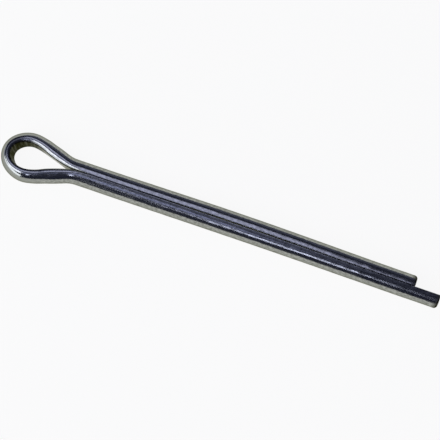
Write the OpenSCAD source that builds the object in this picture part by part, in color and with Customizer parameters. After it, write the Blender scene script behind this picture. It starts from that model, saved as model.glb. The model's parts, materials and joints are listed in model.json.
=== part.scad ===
// Cotter pin, also called a split pin: one length of half-round steel wire, folded back on
// itself into an eye, with two legs of unequal length lying flat face to flat face.
//
// Frame: origin on the shank's axis where the straight legs begin, +X along the shank towards
// the leg tips, the eye on the -X side with its plane in XY, +Z up.
// The short leg lies on the +Y side and the long leg on the -Y side.

/* [Wire] */
// Diameter of the round shank that the two legs make together
shank_d = 3.5; // [2.5:0.1:6]
// Slit left between the flat faces of the legs
slit = 0.1; // [0.05:0.01:0.3]
// Radius on the two long edges of the half-round wire
edge_r = 0.16; // [0.05:0.01:0.3]
// How far the wire swells all round where it is bent
swell = 0.01; // [0.005:0.005:0.02]

/* [Legs] */
// Straight length of the short leg, from the neck to its tip
short_leg = 49.8; // [20:0.1:80]
// How far the long leg reaches past the short one
prong_step = 3.8; // [1:0.1:8]
// Radius on the round rim of each sheared tip
tip_r = 0.45; // [0.1:0.05:0.8]

/* [Eye] */
// Inside radius of the eye, measured to the flat face of the wire
eye_r = 1.9; // [1.2:0.05:4]
// Distance from the start of the straight legs to the middle of the eye
eye_reach = 7.3; // [6:0.1:16]
// How far the middle of the eye sits off the shank's axis, towards the long leg
eye_offset = 0.2; // [0:0.05:0.5]
// Radius of each outward bend at the neck, measured to the flat face of the wire
neck_r = 6.4; // [4:0.1:10]

/* [Hidden] */

$fn = 96;

shank_r = shank_d / 2;
flat_y = slit / 2;
long_leg = short_leg + prong_step;
wire_color = "#b4b8be";

// How far each straight stretch runs on into the bend beside it
weld = 0.05;
// A rounding circle is this much over size, so that it crosses the faces it rounds
ease = 0.01;
// How far a cutting shape stands clear of the wire that it cuts
clear = 1;

// The flat face runs along each leg, round the neck bend, straight to the eye and round the
// eye. Bend and eye are two circles, and the straight stretch is their crossing tangent.
// side is 1 for the short leg and -1 for the long leg.
radii = neck_r + eye_r;
function rise(side) = flat_y + neck_r + side * eye_offset;
function span(side) = sqrt(pow(eye_reach, 2) + pow(rise(side), 2));
function neck_run(side) = sqrt(pow(span(side), 2) - pow(radii, 2));
function neck_turn(side) = atan2(radii, neck_run(side)) - atan2(rise(side), eye_reach);

// Everything except the two corners that an edge radius takes off the section
module edge_trim(grow) {
    edge_u = flat_y + edge_r;
    edge_v = sqrt(pow(shank_r - edge_r, 2) - pow(edge_u, 2));
    translate([-clear, -edge_v])
        square([shank_d + clear, 2 * edge_v]);
    translate([edge_u, -shank_d])
        square([shank_d, 2 * shank_d]);
    for (side = [-1, 1])
        translate([edge_u, side * edge_v])
            circle(r = edge_r + ease + grow);
}

// Half-round section of the wire, with u = 0 on the shank's axis and the flat face at flat_y.
// grow moves the whole outline outwards.
module wire_section(grow = 0) {
    intersection() {
        circle(r = shank_r + grow);
        translate([flat_y - grow, -shank_d])
            square([shank_d, 2 * shank_d]);
        edge_trim(grow);
    }
}

// A straight length of wire along +X, flat face towards -Y
module straight_wire(length) {
    rotate([90, 0, 90])
        linear_extrude(length)
            wire_section();
}

// Round bar along +X that is fatter than the shank, with a nose that rounds a leg's tip
module tip_trim(length) {
    rotate([90, 0, 90])
        rotate_extrude() {
            square([shank_r - tip_r, length + clear]);
            square([shank_r + clear, length - tip_r]);
            translate([shank_r - tip_r, length - tip_r])
                circle(r = tip_r + ease);
        }
}

// One straight leg with its sheared tip
module leg(length) {
    intersection() {
        translate([-weld, 0, 0])
            straight_wire(length + weld);
        translate([-clear, 0, 0])
            tip_trim(length + clear);
    }
}

// Outward bend at the neck and the straight stretch that runs on to the eye
module neck(side) {
    turn = neck_turn(side);
    translate([0, flat_y + neck_r, 0])
        rotate([0, 0, -90 - turn])
            rotate_extrude(angle = turn)
                translate([neck_r + flat_y, 0])
                    mirror([1, 0])
                        wire_section(swell);
    translate([-neck_r * sin(turn), flat_y + neck_r * (1 - cos(turn)), 0])
        rotate([0, 0, -turn])
            translate([-neck_run(side) - weld, -flat_y, 0])
                straight_wire(neck_run(side) + 2 * weld);
}

// The eye, from where the short leg's side meets it round to the long leg's side
module eye() {
    translate([-eye_reach, -eye_offset, 0])
        rotate([0, 0, 90 - neck_turn(1)])
            rotate_extrude(angle = 180 + neck_turn(1) + neck_turn(-1))
                translate([eye_r - flat_y, 0])
                    wire_section(swell);
}

module cotter_pin() {
    color(wire_color) {
        leg(short_leg);
        neck(1);
        eye();
        mirror([0, 1, 0]) {
            neck(-1);
            leg(long_leg);
        }
    }
}

cotter_pin();
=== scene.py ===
import json
import bpy
import numpy as np
from math import atan2, ceil, cos, pi, radians, sin, sqrt
from mathutils import Matrix, Vector


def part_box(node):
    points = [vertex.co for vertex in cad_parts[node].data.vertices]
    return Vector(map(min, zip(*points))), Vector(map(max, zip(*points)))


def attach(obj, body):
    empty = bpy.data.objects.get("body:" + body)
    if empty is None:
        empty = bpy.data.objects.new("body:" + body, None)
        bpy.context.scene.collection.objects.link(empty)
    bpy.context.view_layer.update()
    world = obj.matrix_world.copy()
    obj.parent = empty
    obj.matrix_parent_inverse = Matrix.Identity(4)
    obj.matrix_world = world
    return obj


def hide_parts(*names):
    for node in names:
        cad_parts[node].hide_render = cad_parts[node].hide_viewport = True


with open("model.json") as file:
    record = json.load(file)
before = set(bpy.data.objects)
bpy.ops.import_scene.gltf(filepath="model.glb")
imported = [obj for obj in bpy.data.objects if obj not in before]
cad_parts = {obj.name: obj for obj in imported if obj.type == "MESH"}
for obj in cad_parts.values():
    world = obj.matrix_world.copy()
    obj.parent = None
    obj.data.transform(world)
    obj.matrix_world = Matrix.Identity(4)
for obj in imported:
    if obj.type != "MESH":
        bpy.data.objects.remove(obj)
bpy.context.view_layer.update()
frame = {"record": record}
mounts = {mount["name"]: mount for mount in frame["record"]["mounts"]}
lowCorner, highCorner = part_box("cotter_pin")
mm = 0.001
print("frame loaded, pin", round((highCorner.x - lowCorner.x) / mm, 1), "mm long")


# the wire, all lengths in millimetres
wire = {
    "shankRadius": mounts["shank"]["dims"]["r_mm"],    # the two half-rounds together make this
    "eyeRadius": mounts["eye"]["dims"]["r_mm"],        # inside the eye, on the flat face
    "eyeCentre": [v / mm for v in mounts["eye"]["pos_m"]],
    "longLeg": highCorner.x / mm,
    "legStep": 3.8,         # how far the long leg passes the short one
    "neckRadius": 6.4,      # outward bend below the eye, on the flat face
    "bendStarts": (0.75, -0.15),    # how much nearer the eye the short and long leg start to bend
    "slit": 0.04,           # gap between the flat faces
    "legEdge": 0.10,        # rounding on the two long edges of the half-round, on the legs
    "eyeEdge": 0.55,        # and round the eye, where the edges look much softer
    "edgeBlend": 5.0,       # length over which it grows
    "eyeLean": 13.0,        # degrees: the eye's end leans, so its inner side shows from above
    "neckLean": -5.0,       # and the neck on either side leans back a little
    "eyeShift": 0.30,       # the leaning end also sits further out
    "eyeDrop": 0.06,        # and the whole eye sits further towards the long leg
    "eyeThin": 0.09,        # the wire is thinner at the eye's end, as a share
    "neckThick": 0.06,      # and thicker in the neck on either side
    "loopWave": 0.060,      # the eye is a slightly three-cornered loop: height of the wave on it
    "loopLength": 4.8,      # that wave's length
    "loopFade": 1.5,        # and the length over which it fades into each neck
    "shadeBlend": 2.0,     # length over which the painted shade on the inside of the eye grows in
    "shadeFrom": 0.5,      # painted shade where the surface faces the hole by more than this cosine
    "shadeRise": 2.4,      # and how fast it grows from there
    "bendEase": 1.2,        # length over which a bend eases in and out
    "easeSamples": 9,       # places averaged over that length
    "shortBow": 0.23,       # the legs aren't quite straight: sideways bow at mid length
    "longBow": 0.10,
    "bowLean": -1.0,        # degrees: the short leg rolls as it bows, so that the seam looks shut
    "ringStep": 0.28,       # mesh spacing along the straight legs
    "bendStep": 0.10,       # and round the bends
}
tip = {
    "flatRim": 0.18,        # rounding where the shear blade left, on the flat side
    "roundRim": 0.38,       # rolled-over rim where the blade entered, on the round side
    "slant": 0.15,          # lean of the sheared face, the flat side set back
    "fracture": 0.030,      # roughness of the broken part of that face
    "smoothFrom": 0.65,     # share of the wire's height where the blade's smooth band begins
    # three waves that make the broken part rough, out from the flat and up, in radians per mm
    "fractureWaves": ((9.1, 5.3), (-4.1, 7.7), (17.3, -13.9)),
    "thirdWave": 0.6,       # share of the third wave
    "rimDull": 0.7,         # how dull the rim is where it begins
    "rimRings": 7,          # mesh rings over the rim
    "faceRings": 9,         # and over the sheared face
}
waves = {
    "seed": 11,
    "count": 26,            # waves added up
    "height": 0.0008,       # each wave's height
    "along": (1.6, 9.0),    # shortest and longest wave along the wire
    "around": (1.2, 5.0),   # and round it
    "tipFade": 2.0,         # length over which they fade towards each tip
}


def halfRound(w, edge, arcPoints=48, edgePoints=10, flatPoints=10):
    # outline = centre + radius * (cos a, sin a): a big arc about the shank's axis, a small arc on
    # each long edge, and the flat face, where the small arc's centre slides with its angle at 180.
    # edge is the small arc's radius, one value for each ring
    edge = edge[:, None]
    edgeU = w["slit"] / 2 + edge
    edgeV = np.sqrt((w["shankRadius"] - edge) ** 2 - edgeU ** 2)
    turn = np.arctan2(edgeV, edgeU)
    across = np.linspace(-1, 1, arcPoints)[None, :]
    corner = np.linspace(0, 1, edgePoints + 1)[None, 1:]
    slide = np.linspace(1, -1, flatPoints + 2)[None, 1:-1]
    ones = np.ones_like
    bend = turn + (pi - turn) * corner
    angle = np.hstack([turn * across, bend, pi * ones(edge * slide), 2 * pi - bend[:, ::-1]])
    arc, corners, face = ones(edge * across), ones(bend), ones(slide)
    centreU = np.hstack([0 * arc, edgeU * corners, edgeU * face, edgeU * corners])
    centreV = np.hstack([0 * arc, edgeV * corners, edgeV * slide, -edgeV * corners])
    radius = np.hstack([w["shankRadius"] * arc, edge * corners, edge * face, edge * corners])
    u = centreU + radius * np.cos(angle) - w["slit"] / 2    # u is 0 on the flat face
    v = centreV + radius * np.sin(angle)
    return u, v, np.cos(angle), np.sin(angle)


def smoothStep(value):
    # 0 below 0 and 1 above 1, with no kink: t * t * (3 - 2 * t)
    t = np.clip(value, 0, 1)
    return t ** 2 * (3 - 2 * t)


def wirePath(w, fineStep=0.02):
    # the flat face's line from the short tip round the eye to the long tip. The heading turns
    # evenly over each of seven pieces (leg, bend, run, eye, run, bend, leg) and is averaged over a
    # short length so that no bend starts sharply. The place is the running sum of steps along it
    shortLeg = w["longLeg"] - w["legStep"]
    neckR, eyeR, flat = w["neckRadius"], w["eyeRadius"], w["slit"] / 2
    reach, drop = -w["eyeCentre"][0], w["eyeDrop"] - w["eyeCentre"][1]
    shortStart, longStart = w["bendStarts"]

    def crossing(side, start):
        # the straight stretch is the crossing tangent of the bend and the eye: its length and
        # the angle it stands at
        rise = flat + neckR + side * drop
        run = sqrt((reach - start) ** 2 + rise ** 2 - (neckR + eyeR) ** 2)
        return run, atan2(neckR + eyeR, run) - atan2(rise, reach - start)

    (shortRun, shortTurn), (longRun, longTurn) = crossing(1, shortStart), crossing(-1, longStart)
    eyeTurn = pi + shortTurn + longTurn
    lengths = [shortLeg + shortStart, neckR * shortTurn, shortRun, eyeR * eyeTurn,
               longRun, neckR * longTurn, w["longLeg"] + longStart]
    turns = [0, -shortTurn, 0, eyeTurn, 0, -longTurn, 0]
    starts, ends = np.cumsum([0] + lengths[:-1]), np.cumsum(lengths)
    s = np.linspace(0, ends[-1], ceil(ends[-1] / fineStep))
    shifts = np.linspace(-0.5, 0.5, w["easeSamples"])[:, None] * w["bendEase"]
    heading = np.interp(s + shifts, np.append(0, ends), pi + np.cumsum([0] + turns)).mean(0)
    middle = (heading[1:] + heading[:-1]) / 2
    x = shortLeg + np.append(0, np.cumsum(np.cos(middle))) * s[1]
    y = flat + np.append(0, np.cumsum(np.sin(middle))) * s[1]
    # the easing leaves the loop open by a hair, which is taken back over the bends
    closing = np.clip((s - ends[0]) / (ends[5] - ends[0]), 0, 1)
    x -= closing * (x[-1] - w["longLeg"])
    y -= closing * (y[-1] + flat)
    # a small wave out and in along the normal, with a crest at the eye's end. It fades between
    # one and two fade lengths outside the eye
    wave = w["loopWave"] * np.cos(2 * pi * (s - (starts[3] + ends[3]) / 2) / w["loopLength"])
    wave *= np.clip(np.minimum(s - starts[3], ends[3] - s) / w["loopFade"] + 2, 0, 1)
    slopeX, slopeY = np.gradient(x) / s[1], np.gradient(y) / s[1]
    x += wave * slopeY
    y -= wave * slopeX
    # both legs bow a little towards the short leg's side
    shortPart = np.clip(1 - s / ends[0], 0, 1)
    longPart = np.clip((s - starts[6]) / lengths[6], 0, 1)
    shortBend = np.sin(pi * shortPart) ** 2 * (s < ends[0])
    y += w["shortBow"] * shortBend
    y += w["longBow"] * np.sin(pi * longPart) ** 2 * (s > starts[6])
    steps = [w["ringStep"]] + [w["bendStep"]] * 5 + [w["ringStep"]]
    stations = [np.linspace(a, b, ceil((b - a) / step), endpoint=False)
                for a, b, step in zip(starts, ends, steps)]
    stations = np.concatenate(stations + [ends[-1:]])
    place = np.stack([np.interp(stations, s, line) for line in (x, y)], 1)
    tangent = np.stack([np.interp(stations, s, np.gradient(line)) for line in (x, y)], 1)
    tangent /= np.linalg.norm(tangent, axis=1, keepdims=True)
    # the long edges grow softer about the place where the bends start
    inBends = np.minimum(stations - starts[1], ends[5] - stations) / w["edgeBlend"] + 0.5
    edge = w["legEdge"] + (w["eyeEdge"] - w["legEdge"]) * smoothStep(inBends)

    def hump(first, last):    # rises from 0 at first to 1 halfway and falls to 0 at last
        return np.sin(pi * np.clip((stations - first) / (last - first), 0, 1)) ** 2

    swing = hump(starts[3], ends[3])    # 1 at the eye's end
    back = hump(starts[1], starts[3]) + hump(ends[3], ends[5])    # 1 in the middle of each neck
    bow = np.interp(stations, s, shortBend)
    lean = np.radians(w["eyeLean"] * swing + w["neckLean"] * back + w["bowLean"] * bow)
    # 1 all round the eye, growing over a length in front of it on either side
    inEye = np.minimum(stations - starts[3], ends[3] - stations) / w["shadeBlend"] + 1
    return stations, place, tangent, edge, swing, back, lean, np.clip(inEye, 0, 1)


def ripple(s, u, v, wv):
    # drawn wire isn't a perfect cylinder: a sum of small cosine waves over the straightened wire
    rng = np.random.default_rng(wv["seed"])
    lift = np.zeros_like(s)
    for _ in range(wv["count"]):
        alongLength = rng.uniform(*wv["along"])
        aroundLength = rng.uniform(*wv["around"])
        lean = rng.uniform(0, 2 * pi)
        across = cos(lean) * u + sin(lean) * v
        phase = rng.uniform(0, 2 * pi)
        lift += wv["height"] * np.cos(2 * pi * (s / alongLength + across / aroundLength) + phase)
    return lift


def tipRings(u, v, nu, nv, rim, seed, tp):
    # rings from the side of the wire over the rim to the middle of the sheared face: the outline
    # moves inwards by rim * (1 - cos a) while it moves out along the wire by rim * sin a, then
    # shrinks onto its middle. seed sets the two tips' broken parts apart
    a = np.linspace(0, pi / 2, tp["rimRings"])[:, None]
    shrink = np.linspace(1, 0, tp["faceRings"] + 1)[1:-1, None]
    face = np.ones((len(shrink), len(u)))
    middle = np.average(u)
    ringU = np.vstack([u - nu * rim * (1 - np.cos(a)), middle + shrink * (u - nu * rim - middle)])
    ringV = np.vstack([v - nv * rim * (1 - np.cos(a)), shrink * (v - nv * rim)])
    out = np.vstack([-rim * (1 - np.sin(a)), 0 * face])
    # the face's lean and roughness start on the rim and hold in full all over the face
    weight = np.vstack([np.sin(a) ** 4 * np.ones_like(u), face])
    one, two, three = [alongU * ringU + alongV * ringV for alongU, alongV in tp["fractureWaves"]]
    grain = np.cos(one) * np.cos(two + 1.3 * seed) + tp["thirdWave"] * np.cos(three + seed)
    # the blade leaves a smooth band on the round side, then the wire breaks
    height = ringU / u.max()
    broken = np.clip(2 * (tp["smoothFrom"] - height), 0, 1)
    out = out + weight * (tp["slant"] * (height - 0.5) + tp["fracture"] * broken * grain)
    # the rim and the sheared face take the same dark colour as the painted shade inside the eye
    shadeAndEndShare = np.vstack([np.clip(tp["rimDull"] + 2 * np.sin(a), 0, 1) * np.ones_like(u), face])
    return ringU, ringV, out, shadeAndEndShare


def placeRings(s, centre, forward, ringU, ringV, out, shadeAndEndShare, smoothed):
    # point = centre + normal * u + up * v + forward * out, for each ring of the wire
    normal = np.stack([forward[:, 1], -forward[:, 0]], 1)
    xy = centre[:, None] + normal[:, None] * ringU[..., None] + forward[:, None] * out[..., None]
    points = np.concatenate([xy, ringV[..., None]], -1)
    straight = np.stack([s[:, None] + out, ringU, ringV], -1)
    return points, straight, np.stack([shadeAndEndShare, smoothed, 0 * shadeAndEndShare], -1)


def buildWire(w, tp, wv):
    # surface = path(s) + normal(s) * u(t) + up * v(t), closed at each end by the tip's rings
    stations, place, tangent, edge, swing, back, lean, inEye = wirePath(w)
    outline = halfRound(w, edge)
    # the side's rings stop two rims short of each end, where the tip's own rings take over
    side = np.minimum(stations, stations[-1] - stations) > 2 * tp["roundRim"]
    s = stations[side]
    u, v, nu, nv = [part[side] for part in outline]
    fade = np.clip(np.minimum(s, stations[-1] - s) / wv["tipFade"], 0, 1)[:, None]
    lift = fade * ripple(s[:, None] + 0 * u, u, v, wv)
    thick = 1 - w["eyeThin"] * swing[side] + w["neckThick"] * back[side]
    thinU = (u + nu * lift) * thick[:, None]
    thinV = v + nv * lift
    # the outline turns about the middle of its flat face, then moves out
    turn = lean[side][:, None]
    shift = w["eyeShift"] * swing[side][:, None] ** 2
    leanU = thinU * np.cos(turn) + thinV * np.sin(turn) + shift
    leanV = thinV * np.cos(turn) - thinU * np.sin(turn)
    eyeShare = inEye[side][:, None] + 0 * u
    # painted shade on the inside of the eye, on the surface that faces the hole
    shadeAndEndMark = eyeShare * np.clip(w["shadeRise"] * (-nu - w["shadeFrom"]), 0, 1)
    sides = placeRings(s, place[side], tangent[side], leanU, leanV, 0 * lift, shadeAndEndMark, eyeShare)

    tipU, tipV, tipNu, tipNv = [part[0] for part in outline]
    rim = tp["flatRim"] + (tp["roundRim"] - tp["flatRim"]) * smoothStep(tipU / tipU.max())

    def closeTip(seed, end, sign):    # end is 0 for the short tip and -1 for the long one
        rings = tipRings(tipU, tipV, tipNu, tipNv, rim, seed, tp)
        ringU, ringV, out, shadeAndEndShare = [r[::sign] for r in rings]    # the short tip starts in its middle
        ends = [np.repeat(line[[end]], len(ringU), 0) for line in (stations, place, tangent)]
        return placeRings(*ends, ringU, ringV, sign * out, shadeAndEndShare, 0 * shadeAndEndShare)

    rows = closeTip(1, 0, -1), sides, closeTip(2, -1, 1)
    points, straight, marks = [np.concatenate(part) for part in zip(*rows)]

    rings, around = points.shape[:2]
    index = np.arange(rings * around).reshape(rings, around)
    nextIndex = np.roll(index, -1, 1)
    quads = np.stack([index[:-1], nextIndex[:-1], nextIndex[1:], index[1:]], -1).reshape(-1, 4)
    first, last = rings * around, rings * around + 1    # a single point closes each sheared face
    fans = [np.stack([np.full(around, first), nextIndex[0], index[0]], -1)]
    fans.append(np.stack([np.full(around, last), index[-1], nextIndex[-1]], -1))

    def withMiddles(values):    # the rings' values, then the middle of the first and last ring
        return np.vstack([values.reshape(-1, 3), values[0].mean(0), values[-1].mean(0)])

    mesh = bpy.data.meshes.new("pinWire")
    faces = quads.tolist() + np.concatenate(fans).tolist()
    mesh.from_pydata((withMiddles(points) * mm).tolist(), [], faces)
    mesh.polygons.foreach_set("use_smooth", np.ones(len(mesh.polygons), bool))
    # straightWire: millimetres along, out from the flat face and up.
    # marks: x is 1 where painted shade goes on the inside of the eye and on the sheared ends, which
    # are drawn dark too; y is 1 all round the eye
    for name, values in (("straightWire", straight), ("marks", marks)):
        layer = mesh.attributes.new(name, "FLOAT_VECTOR", "POINT")
        layer.data.foreach_set("vector", withMiddles(values).astype(np.float32).ravel())
    mesh.update()
    piece = bpy.data.objects.new("pinWire", mesh)
    bpy.context.scene.collection.objects.link(piece)
    return piece


pin = buildWire(wire, tip, waves)
print("wire built,", len(pin.data.polygons), "faces")


def hexColour(code):
    # sRGB hex to linear: dark values are divided by 12.92 and the rest follow a power of 2.4
    srgb = np.array([int(code[i:i + 2], 16) for i in (1, 3, 5)]) / 255
    return (*np.where(srgb <= 0.04045, srgb / 12.92, ((srgb + 0.055) / 1.055) ** 2.4), 1.0)


def addNode(tree, kind, settings=None, links=None):
    # one node with its settings and links: names or numbers of sockets set inputs, other names set
    # the node's properties
    node = tree.nodes.new(kind)
    for name, value in (settings or {}).items():
        if isinstance(name, int) or name in node.inputs:
            node.inputs[name].default_value = value
        else:
            setattr(node, name, value)
    for name, (source, output) in (links or {}).items():
        tree.links.new(source.outputs[output], node.inputs[name])
    return node


zinc = {
    "colour": "#A9ABA5",        # bright zinc with a clear passivation: a slightly dulled silver
    "darkColour": "#83857F",    # where the layer is thinner
    "roughness": (0.10, 0.20),  # polished by drawing, a little milky from the plating
    "grazingTint": "#B4B5A8",   # the layer turns duller and yellower where it is seen edge-on
    "shadeAndEndColour": "#2A2A24",  # painted shade on the inside of the eye, a little brown; the sheared ends are drawn in it too
    "shadeAndEndWrinkle": "#66665E",   # the painted shade is lighter along the wrinkles across the wire
    "recessRoughness": 0.38,
    "wrinkleSpacing": 0.40,     # those wrinkles, along the wire
    "wrinkleLength": 3.0,       # and across it
    "wrinkleRange": (0.44, 0.70),   # levels of the noise that give none and all of it
    "dieSpacing": 0.34,         # lengthwise lines left by the drawing die
    "dieLength": 22.0,
    "dieDepth": 0.0040,
    "scratchSpacing": 0.15,     # finer and shorter ones, mostly seen as uneven gloss
    "scratchLength": 2.5,
    "scratchDepth": 0.0012,
    "scratchRange": (0.3, 0.7),     # levels that give the least and the most roughness
    "grainSize": 0.24,          # crystals of the plated layer, drawn coarse enough to show
    "grainDepth": 0.0022,
    "mottleSize": 0.20,         # patches of thinner layer, twice as long as wide
    "mottleRange": (0.36, 0.64),    # levels that give the dark colour and the other one
    "mottleCalm": 0.5,          # where calm, the two colours are mixed by this share
    "eyeCalm": 0.85,            # share of all these that is missing round the eye
}


def zincPlatedWire(z):
    # drawn steel wire, barrel plated with bright zinc: mirror-like, with fine lengthwise draw
    # lines, and painted shade on the inside of the eye
    material = bpy.data.materials.new("zincPlatedWire")
    material.use_nodes = True
    tree = material.node_tree
    tree.nodes.clear()
    coords = addNode(tree, "ShaderNodeAttribute", {"attribute_name": "straightWire"})
    marks = addNode(tree, "ShaderNodeAttribute", {"attribute_name": "marks"})
    marks = addNode(tree, "ShaderNodeSeparateXYZ", {}, {0: (marks, "Vector")})
    shadeAndEndMark, eye = (marks, 0), (marks, 1)

    def wirePattern(length, across, detail):
        # a noise with its own size along the wire and across it: the place, in millimetres, is
        # divided by those sizes
        scale = {"Scale": (1 / length, 1 / across, 1 / across)}
        place = addNode(tree, "ShaderNodeMapping", scale, {0: (coords, "Vector")})
        settings = {"Scale": 1.0, "Detail": detail}
        return addNode(tree, "ShaderNodeTexNoise", settings, {"Vector": (place, 0)})

    die = wirePattern(z["dieLength"], z["dieSpacing"], 1.0)
    scratch = wirePattern(z["scratchLength"], z["scratchSpacing"], 2.0)
    grain = wirePattern(z["grainSize"], z["grainSize"], 2.0)
    mottle = wirePattern(z["mottleSize"] * 2, z["mottleSize"], 3.0)
    wrinkle = wirePattern(z["wrinkleSpacing"], z["wrinkleLength"], 2.0)
    limits = "From Min", "From Max", "To Min", "To Max"
    mottle = addNode(tree, "ShaderNodeMapRange", dict(zip(limits, z["mottleRange"])),
                     {"Value": (mottle, 0)})
    wrinkle = addNode(tree, "ShaderNodeMapRange", dict(zip(limits, z["wrinkleRange"])),
                      {"Value": (wrinkle, 0)})
    rough = addNode(tree, "ShaderNodeMapRange",
                    dict(zip(limits, z["scratchRange"] + z["roughness"])), {"Value": (scratch, 0)})
    # round the eye the patterns are calmer: less relief, and the two colours nearer their mix
    calm = addNode(tree, "ShaderNodeMath", {"operation": "MULTIPLY", 1: z["eyeCalm"]}, {0: eye})
    relief = addNode(tree, "ShaderNodeMath", {"operation": "SUBTRACT", 0: 1.0}, {1: (calm, 0)})
    mottle = addNode(tree, "ShaderNodeMix", {"data_type": "FLOAT", 3: z["mottleCalm"]},
                     {0: (calm, 0), 2: (mottle, 0)})
    rough = addNode(tree, "ShaderNodeMix", {"data_type": "FLOAT", 3: z["recessRoughness"]},
                    {0: shadeAndEndMark, 2: (rough, 0)})
    colours = {6: hexColour(z["darkColour"]), 7: hexColour(z["colour"])}
    plate = addNode(tree, "ShaderNodeMix", {"data_type": "RGBA", **colours}, {0: (mottle, 0)})
    # painted shade for the inside of the eye, lighter along the wrinkles; the sheared ends get the
    # same dark colour
    colours = {6: hexColour(z["shadeAndEndColour"]), 7: hexColour(z["shadeAndEndWrinkle"])}
    shadeAndEndTone = addNode(tree, "ShaderNodeMix", {"data_type": "RGBA", **colours}, {0: (wrinkle, 0)})
    tone = addNode(tree, "ShaderNodeMix", {"data_type": "RGBA"},
                   {0: shadeAndEndMark, 6: (plate, 2), 7: (shadeAndEndTone, 2)})
    # each relief is laid over the one before it
    normal = None
    for pattern, depth in ((die, "dieDepth"), (scratch, "scratchDepth"), (grain, "grainDepth")):
        links = {"Height": (pattern, 0), "Strength": (relief, 0)}
        if normal:
            links["Normal"] = (normal, 0)
        normal = addNode(tree, "ShaderNodeBump", {"Distance": z[depth] * mm}, links)
    shader = addNode(tree, "ShaderNodeBsdfPrincipled",
                     {"Metallic": 1.0, "Specular Tint": hexColour(z["grazingTint"])},
                     {"Base Color": (tone, 2), "Roughness": (rough, 0), "Normal": (normal, 0)})
    addNode(tree, "ShaderNodeOutputMaterial", {}, {"Surface": (shader, 0)})
    return material


pin.data.materials.append(zincPlatedWire(zinc))
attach(pin, "root")
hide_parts("cotter_pin")
print("zinc plate on")


studio = {
    "floorColour": "#F9F7EE",
    "floorRoughness": 0.8,
    "whiteColour": "#FFFFFF",
    "floorWhite": 0.92,     # share of plain white in how the floor looks
    "floorSize": 1.6,       # metres
    "worldColour": "#A0A6DC",
    "worldStrength": 0.10,
}
# each lamp: where it stands seen from the pin (degrees round from +X, degrees up), how far away,
# its two sides in metres, its colour, how bright its face is (1 looks white), and any roll
lamps = {
    "windowHigh": {"around": 223, "up": 47, "away": 0.5, "size": (0.32, 0.40),
                   "colour": "#EBEDFF", "glow": 3.2, "roll": 38},
    "windowLow": {"around": 227, "up": 12, "away": 0.6, "size": (0.74, 0.22),
                  "colour": "#F0F3FF", "glow": 2.9},
    "leftWall": {"around": 178, "up": 11, "away": 0.6, "size": (0.34, 0.22),
                 "colour": "#D0D6F5", "glow": 0.7},
    "backBounce": {"around": 103.5, "up": 60, "away": 0.5, "size": (0.233, 0.29),
                   "colour": "#D0D2FA", "glow": 1.26},
    "backWall": {"around": 92, "up": 12, "away": 0.7, "size": (0.70, 0.26),
                 "colour": "#C8CEFA", "glow": 0.13},
    "frontBounce": {"around": 250, "up": 61, "away": 0.5, "size": (0.20, 0.17),
                    "colour": "#C0C6FF", "glow": 0.72, "roll": 10},
    "ceiling": {"around": 180, "up": 82, "away": 0.5, "size": (0.26, 0.26),
                "colour": "#C8CEFA", "glow": 0.17},
    "stripFront": {"around": -86.9, "up": 42, "away": 1.0, "size": (0.063, 0.223),
                   "colour": "#D8DCFF", "glow": 4.1},
}
view = {
    "around": -88.2,    # degrees: the camera stands on the long leg's side, almost overhead
    "up": 79.6,
    "roll": 17.2,
    "away": 0.28,       # metres
    "lens": 163.3,      # millimetres
    "look": (0.0210, 0.0002, 0),    # the place it looks at, metres
}
aim = Vector(((lowCorner.x + highCorner.x) / 2, 0, 0))


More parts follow.
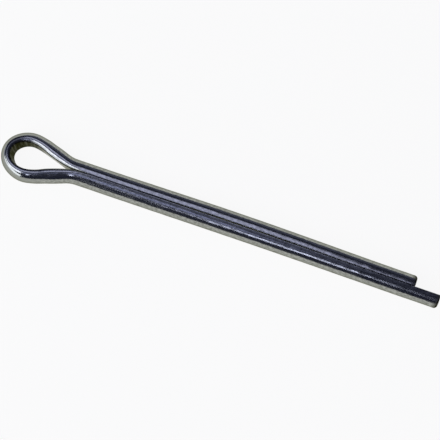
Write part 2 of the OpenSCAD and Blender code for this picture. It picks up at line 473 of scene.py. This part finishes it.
def paleFloor(st):
    # matt white board just under the pin. A share of plain white for what the camera and the metal
    # see of it keeps it pale, and the rest of it takes the pin's shadow
    board = bpy.data.materials.new("paleBoard")
    board.use_nodes = True
    tree = board.node_tree
    tree.nodes.clear()
    rays = addNode(tree, "ShaderNodeLightPath")
    seen = (rays, "Is Camera Ray")
    for kind in ("Is Glossy Ray", "Is Transmission Ray"):
        links = {0: seen, 1: (rays, kind)}
        seen = (addNode(tree, "ShaderNodeMath", {"operation": "MAXIMUM"}, links), 0)
    settings = {"operation": "MULTIPLY", 1: st["floorWhite"]}
    share = addNode(tree, "ShaderNodeMath", settings, {0: seen})
    settings = {"Base Color": hexColour(st["floorColour"]), "Roughness": st["floorRoughness"]}
    matt = addNode(tree, "ShaderNodeBsdfPrincipled", settings)
    settings = {"Color": hexColour(st["whiteColour"]), "Strength": 1.0}
    white = addNode(tree, "ShaderNodeEmission", settings)
    look = addNode(tree, "ShaderNodeMixShader", {}, {0: (share, 0), 1: (matt, 0), 2: (white, 0)})
    addNode(tree, "ShaderNodeOutputMaterial", {}, {"Surface": (look, 0)})
    half = st["floorSize"] / 2
    corners = [(-half, -half), (half, -half), (half, half), (-half, half)]
    mesh = bpy.data.meshes.new("floor")
    corners = [(aim.x + x, aim.y + y, lowCorner.z) for x, y in corners]
    mesh.from_pydata(corners, [], [(0, 1, 2, 3)])
    mesh.materials.append(board)
    floor = bpy.data.objects.new("floor", mesh)
    bpy.context.scene.collection.objects.link(floor)


def standing(thing):
    # the direction in which a lamp or the camera stands, and the turn that points it back
    around, up = radians(thing["around"]), radians(thing["up"])
    direction = Vector((cos(up) * cos(around), cos(up) * sin(around), sin(up)))
    roll = Matrix.Rotation(radians(thing.get("roll", 0)), 3, "Z")
    return direction, direction.to_track_quat("Z", "Y").to_matrix() @ roll


def addLamp(name, lamp):
    # an evenly glowing rectangle: its power in watts is its glow * pi * its area
    data = bpy.data.lights.new(name, "AREA")
    data.shape = "RECTANGLE"
    data.size, data.size_y = lamp["size"]
    data.energy = lamp["glow"] * pi * lamp["size"][0] * lamp["size"][1]
    data.color = hexColour(lamp["colour"])[:3]
    direction, turn = standing(lamp)
    light = bpy.data.objects.new(name, data)
    light.location = aim + direction * lamp["away"]
    light.rotation_euler = turn.to_euler()
    bpy.context.scene.collection.objects.link(light)


paleFloor(studio)
for name, lamp in lamps.items():
    addLamp(name, lamp)
world = bpy.data.worlds.new("studio")
world.use_nodes = True
sky = world.node_tree.nodes["Background"]
sky.inputs["Color"].default_value = hexColour(studio["worldColour"])
sky.inputs["Strength"].default_value = studio["worldStrength"]
bpy.context.scene.world = world
bpy.context.scene.view_settings.view_transform = "Standard"
print("studio lit")

cameraData = bpy.data.cameras.new("camera")
cameraData.lens = view["lens"]
cameraData.clip_start, cameraData.clip_end = 0.01, 10
camera = bpy.data.objects.new("camera", cameraData)
direction, turn = standing(view)
spot = Vector(view["look"]) + direction * view["away"]
camera.matrix_world = Matrix.Translation(spot) @ turn.to_4x4()
bpy.context.scene.collection.objects.link(camera)
bpy.context.scene.camera = camera
print("camera set")
